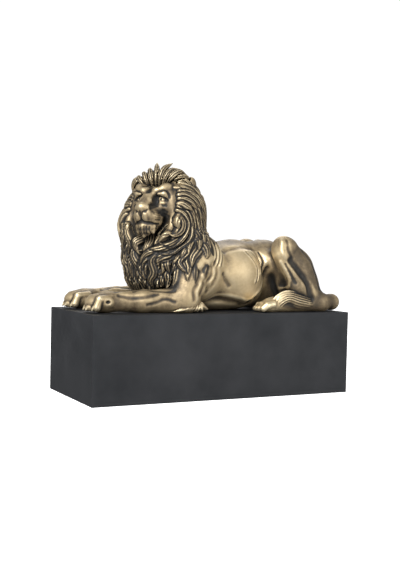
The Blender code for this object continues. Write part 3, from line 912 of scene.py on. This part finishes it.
# Sinews of the lower foreleg: the x of both ends, and degrees round it from its outer side
SINEWS = ((-50, -74, 2), (-64, -98, 30), (-48, -84, 62), (-76, -99, 88), (-52, -90, 120))


def add_sinew(clay, side, number, back, front, turn):
    stops = []
    for f in (0, 0.35, 0.7, 1):
        x = back + (front - back) * f
        angle = radians(turn + 13 * sin(5 * f + 2 * number))
        reach = np.array((0, side * cos(angle), sin(angle)))
        stops.append(np.array((x, side * np.interp(x, (-100, -38), (29, 37)), 9.6)) + 10.5 * reach)
    clay.stroke(snap(clay, smooth_path(stops, 14), 6), 1.5 + 0.3 * (number % 2), 1)


def add_muscles(clay, side):
    """Folds of skin, muscles and sinews on one flank and its legs."""

    def groove(stops, width, depth, right=0, up=0):
        clay.stroke(on_side(clay, [(x + right, z + up) for x, z in stops], side), width, depth)

    clay.limb(((53, side * 38, 46, 3), (56, side * 36, 27, 9), (60, side * 34, 22, 9)), 3, cut=True)
    for i in range(3):
        fold = [(x + step * i, z) for x, step, z in SHOULDER_FOLD]
        groove(fold, 1.1, 1.3)
        groove(fold, 1.2, -0.7, right=-2.2)
    for fold in FLANK_FOLDS:
        groove(fold, 1.2, -0.9)
        groove(fold, 1, 1.1, right=2.2, up=-0.4)
    groove(RIBS, 1.7, -1.5)
    groove(RIBS, 3, 2.4, right=0.5, up=-5.5)
    for mark in SHOULDER_MARKS:
        groove(*mark)
    for i, (x, top, foot, depth) in enumerate(UPPER_FOLDS):
        bend = 2 * (-1) ** i
        middle = ((x + 1 + bend, 0.6 * top + 0.4 * foot), (x + 1 - bend, 0.3 * top + 0.7 * foot))
        fold = ((x + 4, top), *middle, (x, foot))
        groove(fold, 2.2, depth)
        groove(fold, 1.8, -0.6, right=4)
    for mark in THIGH_MARKS:
        groove(*mark)
    clay.ball((-58, side * 37, 13.5), (9, 5.5, 6), 3)
    for number, ends in enumerate(SINEWS):
        add_sinew(clay, side, number, *ends)
    # the pad at the wrist, with its hollow
    clay.ball((-108, side * 37.5, 9.5), (4.6, 2.6, 3.8), 2.5)
    clay.ball((-108.5, side * 40.6, 9.6), (2.3, 2.4, 1.7), 1.2, cut=True)


def add_object(name, data):
    thing = bpy.data.objects.new(name, data)
    bpy.context.scene.collection.objects.link(thing)
    return thing


def shape_lion():
    """The lion's clay: its masses on a coarse grid, the rest on one twice as fine."""
    step = 2 * GRAIN
    count = np.ceil(np.subtract(CLAY_HIGH, CLAY_LOW) / step).astype(int) + 1
    clay = Clay(CLAY_LOW, step, np.full(count, Clay.FAR, np.float32))
    add_trunk(clay)
    add_tail(clay)
    for side in BOTH:
        add_hind_leg(clay, side)
        add_foreleg(clay, side)
    skin = clay.block(SKIN_LOW, SKIN_HIGH)
    add_mane(skin)
    clay = clay.refined()
    skin = skin.refined()
    for side in BOTH:
        add_paw(clay, side)
        add_hind_toes(clay, side)
    for side in BOTH:
        add_muscles(clay, side)
    pelt = carve_mane(skin, clay)
    add_head(clay)
    add_ears(clay)
    add_crown_fan(clay)
    add_tail_tuft(clay)
    add_leg_hair(clay)
    height = clay.low[2] + clay.step * np.arange(clay.field.shape[2])
    clay.field = np.maximum(clay.field, (UNDERSIDE - height)[None, None, :].astype(np.float32))
    return clay, pelt


def wash_and_shade_left(spots, pelt):
    """How dark each spot is painted: the patina the hair holds, most in the mane, less on the face,
    chin and legs; painted shade on the top of the back and behind the jaw; none on the flanks.
    """

    def from_face(*at):
        return np.linalg.norm(spots - face_point(*at), axis=1)

    height = pelt.skin.read(spots, pelt.height)
    covered = pelt.skin.read(spots) - height
    hair = np.clip(height + 2, 0, 1) * np.clip((1.1 - covered) / 0.8, 0, 1)
    crown = np.clip(((spots - HEAD) @ CROWN - 13) / 3, 0, 1)
    hair = np.maximum(hair, crown) * np.interp(spots[:, 2], (58, 82, 108, 118), (1, 0.72, 0.72, 1))
    # darker round the face and on the legs, by place
    face = 0.6 * (from_face(18, 0, -2) < 34)
    legs = np.interp(spots[:, 0], (-60, -12, 55, 68), (0.45, 0, 0, 0.6))
    # painted shade: darker over the top of the back
    back = np.interp(spots[:, 2], (54, 64), (0, 0.5))
    # painted shade in the hollow behind each side of the jaw
    jaw = np.clip(1.8 - np.minimum(from_face(8, -19, -16), from_face(8, 19, -16)) / 8, 0, 1)
    # darker round the chin
    chin = np.clip(2 - from_face(31, 0, -28) / 5.5, 0, 1)
    return np.max((hair, face, jaw, chin, legs, back), axis=0)


def build_lion():
    clay, pelt = shape_lion()
    points, quads = clay.mesh()
    rough = bpy.data.meshes.new("lion clay")
    rough.from_pydata(points * MM + (0, 0, PLINTH_TOP), (), quads)
    lion = add_object("lion_casting", rough)
    thin = lion.modifiers.new("fewer faces", "DECIMATE")
    thin.ratio = min(1, FACE_LIMIT / (2 * len(quads)))
    graph = bpy.context.evaluated_depsgraph_get()
    mesh = bpy.data.meshes.new_from_object(lion.evaluated_get(graph))
    lion.modifiers.clear()
    lion.data = mesh
    mesh.name = "lion_casting"
    keep_largest(mesh)
    mesh.shade_smooth()
    spots = np.empty(len(mesh.vertices) * 3, np.float32)
    mesh.vertices.foreach_get("co", spots)
    spots = (spots.reshape(-1, 3) - (0, 0, PLINTH_TOP)) / MM
    # How full the clay is round each spot; the bronze darkens the hollows by it, as patina and as
    # painted shade
    notes = {name: clay.read(spots, clay.fullness(reach)) for name, reach in HOLLOW_REACH.items()}
    # patina and painted shade, by place
    notes["wash_and_shade"] = wash_and_shade_left(spots, pelt)
    for name, values in notes.items():
        note = mesh.attributes.new(name, "FLOAT", "POINT")
        note.data.foreach_set("value", values.astype(np.float32))
    return lion


def keep_largest(mesh):
    """Drops the loose crumbs that carving leaves."""
    form = bmesh.new()
    form.from_mesh(mesh)
    left = set(form.verts)
    parts = []
    while left:
        part = [left.pop()]
        for vertex in part:
            for edge in vertex.link_edges:
                other = edge.other_vert(vertex)
                if other in left:
                    left.remove(other)
                    part.append(other)
        parts.append(part)
    crumbs = [vertex for part in sorted(parts, key=len)[:-1] for vertex in part]
    bmesh.ops.delete(form, geom=crumbs, context="VERTS")
    form.to_mesh(mesh)
    form.free()


# Finishes


def new_material(name):
    material = bpy.data.materials.new(name)
    material.use_nodes = True
    tree = material.node_tree
    return material, tree, tree.nodes["Principled BSDF"]


def set_inputs(node, values):
    for name, value in values.items():
        node.inputs[name].default_value = value


def add_node(tree, kind, values=None, **settings):
    node = tree.nodes.new("ShaderNode" + kind)
    for key, value in settings.items():
        setattr(node, key, value)
    set_inputs(node, values or {})
    return node


def ramp(tree, source, stops):
    node = add_node(tree, "ValToRGB")
    tree.links.new(source, node.inputs["Fac"])
    while len(node.color_ramp.elements) < len(stops):
        node.color_ramp.elements.new(0.5)
    for element, (at, colour) in zip(node.color_ramp.elements, stops):
        element.position = at
        element.color = (*colour, 1.0)
    return node.outputs["Color"]


def noise(tree, scale, detail, roughness=0.5):
    node = add_node(tree, "TexNoise", {"Scale": scale, "Detail": detail, "Roughness": roughness})
    tree.links.new(add_node(tree, "TexCoord").outputs["Object"], node.inputs["Vector"])
    return node.outputs["Fac"]


def ranged(tree, source, before, after, target=None):
    """The source carried from one range to another, and into the target."""
    ends = dict(zip(("From Min", "From Max", "To Min", "To Max"), before + after))
    node = add_node(tree, "MapRange", ends)
    tree.links.new(source, node.inputs["Value"])
    if target:
        tree.links.new(node.outputs["Result"], target)
    return node.outputs["Result"]


def tint(tree, shader, source, stops):
    tree.links.new(ramp(tree, source, stops), shader.inputs["Base Color"])


def add_bump(tree, shader, source, strength, distance):
    bump = add_node(tree, "Bump", {"Strength": strength, "Distance": distance})
    tree.links.new(source, bump.inputs["Height"])
    tree.links.new(bump.outputs["Normal"], shader.inputs["Normal"])


WHITE = (1.0, 1.0, 1.0, 1.0)
# From hollow to ridge: the near-black and dark brown stops are the patina together with painted shade
# in creases and between locks
BRONZE_AND_SHADE_TONES = (
    (0.0, (0.008, 0.008, 0.007)),
    (0.30, (0.034, 0.028, 0.020)),
    (0.46, (0.15, 0.11, 0.062)),
    (0.64, (0.44, 0.335, 0.185)),
    (1.0, (0.80, 0.67, 0.43)),
)


def bronze():
    """Antique bronze: near-black in the hollows, partly the patina held there and partly painted shade,
    brown on the flats, pale gold on the ridges.
    """
    material, tree, shader = new_material("antique bronze")
    link = tree.links.new
    fine, broad, wash_and_shade = (
        add_node(tree, "Attribute", attribute_name=name).outputs["Fac"]
        for name in ("fine_hollow", "broad_hollow", "wash_and_shade")
    )
    mottle = noise(tree, 55.0, 6.0, 0.6)
    brush = noise(tree, 330.0, 5.0, 0.65)
    # The fine and broad hollows darken the colour: painted shade in creases and gaps, as well as the
    # patina held there
    level = fine
    for part, share in ((broad, 0.55), (mottle, 0.12), (brush, 0.10), (wash_and_shade, 0.20)):
        node = add_node(tree, "Math", {1: share}, operation="MULTIPLY_ADD")
        link(part, node.inputs[0])
        link(level, node.inputs[2])
        level = node.outputs[0]
    ridge = ranged(tree, level, (0.73, 1.15), (1.0, 0.0))
    dim = add_node(tree, "HueSaturation", {"Saturation": 0.95})
    link(ramp(tree, ridge, BRONZE_AND_SHADE_TONES), dim.inputs["Color"])
    link(dim.outputs["Color"], shader.inputs["Base Color"])
    # darker overall where the patina and painted shade lie
    ranged(tree, wash_and_shade, (0.0, 1.0), (1.0, 0.65), dim.inputs["Value"])
    ranged(tree, ridge, (0.0, 1.0), (0.66, 0.46), shader.inputs["Roughness"])
    ranged(tree, ridge, (0.2, 0.8), (0.35, 0.85), shader.inputs["Metallic"])
    add_bump(tree, shader, brush, 0.25, 0.0004)
    return material


def black_paint():
    """Satin black paint with faint clouds and orange peel."""
    material, tree, shader = new_material("black paint")
    cloud = noise(tree, 28.0, 5.0, 0.55)
    tint(tree, shader, cloud, ((0.3, (0.0125, 0.0133, 0.0147)), (0.7, (0.0215, 0.0223, 0.024))))
    set_inputs(shader, {"Specular IOR Level": 0.1})
    ranged(tree, cloud, (0.3, 0.7), (0.46, 0.58), shader.inputs["Roughness"])
    add_bump(tree, shader, noise(tree, 900.0, 3.0), 0.12, 0.0002)
    return material


def floor_paint():
    material, tree, shader = new_material("pale floor")
    cloud = noise(tree, 3.0, 3.0)
    tint(tree, shader, cloud, ((0.3, (0.90, 0.90, 0.90)), (0.7, (0.93, 0.93, 0.93))))
    set_inputs(shader, {"Roughness": 0.9, "Emission Color": WHITE, "Emission Strength": 0.8})
    return material


# Stage

FLOOR_REACH = 6.0  # metres from its middle to its edge


def build_floor():
    form = bmesh.new()
    bmesh.ops.create_grid(form, x_segments=2, y_segments=2, size=FLOOR_REACH)
    mesh = bpy.data.meshes.new("floor")
    form.to_mesh(mesh)
    form.free()
    floor = add_object("floor", mesh)
    mesh.materials.append(floor_paint())
    floor.visible_glossy = False


def view_axes(azimuth, elevation):
    """Directions back to the eye and to its right; azimuth 0 stands at -Y and grows towards +X."""
    a, e = radians(azimuth), radians(elevation)
    back = Vector((sin(a) * cos(e), -cos(a) * cos(e), sin(e)))
    return back, Vector((cos(a), sin(a), 0.0))


def aimed(back, right, place):
    matrix = Matrix((right, back.cross(right), back)).transposed().to_4x4()
    matrix.translation = place
    return matrix


# The camera, solved from the plinth's edges as seen: degrees, and shares of the plinth's length
CAMERA_TURN, CAMERA_LIFT, CAMERA_ROLL = -27.278, 2.184, 1.306
CAMERA_AIM = (-0.008175, 0.0, 0.38627)
CAMERA_REACH = 3.2934
FOCAL_PIXELS, PHOTO_HEIGHT = 904.3, 570
SENSOR = 36.0


def build_camera():
    back, right = view_axes(CAMERA_TURN, CAMERA_LIFT)
    roll = radians(CAMERA_ROLL)
    tilted = right * cos(roll) + back.cross(right) * sin(roll)
    data = bpy.data.cameras.new("camera")
    data.sensor_width = SENSOR
    data.lens = FOCAL_PIXELS / PHOTO_HEIGHT * SENSOR
    camera = add_object("camera", data)
    aim = Vector(CAMERA_AIM) * PLINTH_LENGTH
    camera.matrix_world = aimed(back, tilted, aim + back * CAMERA_REACH * PLINTH_LENGTH)
    bpy.context.scene.camera = camera


LIGHT_AIM = (0.0, 0.0, 0.12)
# name, azimuth, elevation, distance, width, height and power
LIGHTS = (
    ("key", -48, 34, 1.3, 0.75, 0.75, 30),
    ("fill", 30, 12, 1.5, 0.7, 0.9, 8),
    ("rim", 150, 40, 1.4, 0.8, 0.8, 9),
)
ROOM_TONES = ((0.0, (0.30, 0.30, 0.31)), (0.35, (0.42, 0.42, 0.43)), (1.0, (0.34, 0.35, 0.37)))


def add_light(name, azimuth, elevation, distance, width, height, power):
    """A soft box that shines on the lion's middle."""
    back, right = view_axes(azimuth, elevation)
    data = bpy.data.lights.new(name, "AREA")
    data.shape = "RECTANGLE"
    data.size = width
    data.size_y = height
    data.energy = power
    light = add_object(name, data)
    light.matrix_world = aimed(back, right, Vector(LIGHT_AIM) + back * distance)


def build_light():
    """A white backdrop for the camera, and a dimmer, cooler room for the light on the part."""
    world = bpy.data.worlds.new("studio")
    bpy.context.scene.world = world
    world.use_nodes = True
    tree = world.node_tree
    link = tree.links.new
    room = tree.nodes["Background"]
    height = add_node(tree, "SeparateXYZ")
    link(add_node(tree, "TexCoord").outputs["Generated"], height.inputs["Vector"])
    link(ramp(tree, height.outputs["Z"], ROOM_TONES), room.inputs["Color"])
    set_inputs(room, {"Strength": 0.9})
    white = add_node(tree, "Background", {"Color": WHITE, "Strength": 1.05})
    both = add_node(tree, "MixShader")
    link(add_node(tree, "LightPath").outputs["Is Camera Ray"], both.inputs["Fac"])
    link(room.outputs["Background"], both.inputs[1])
    link(white.outputs["Background"], both.inputs[2])
    link(both.outputs["Shader"], tree.nodes["World Output"].inputs["Surface"])
    for light in LIGHTS:
        add_light(*light)


lion = build_lion()
lion.data.materials.clear()
lion.data.materials.append(bronze())
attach(lion, "root")
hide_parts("lion")

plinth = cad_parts["plinth"]
for slot in plinth.material_slots:
    slot.material = black_paint()

build_floor()
build_camera()
build_light()
bpy.context.scene.view_settings.view_transform = "Standard"
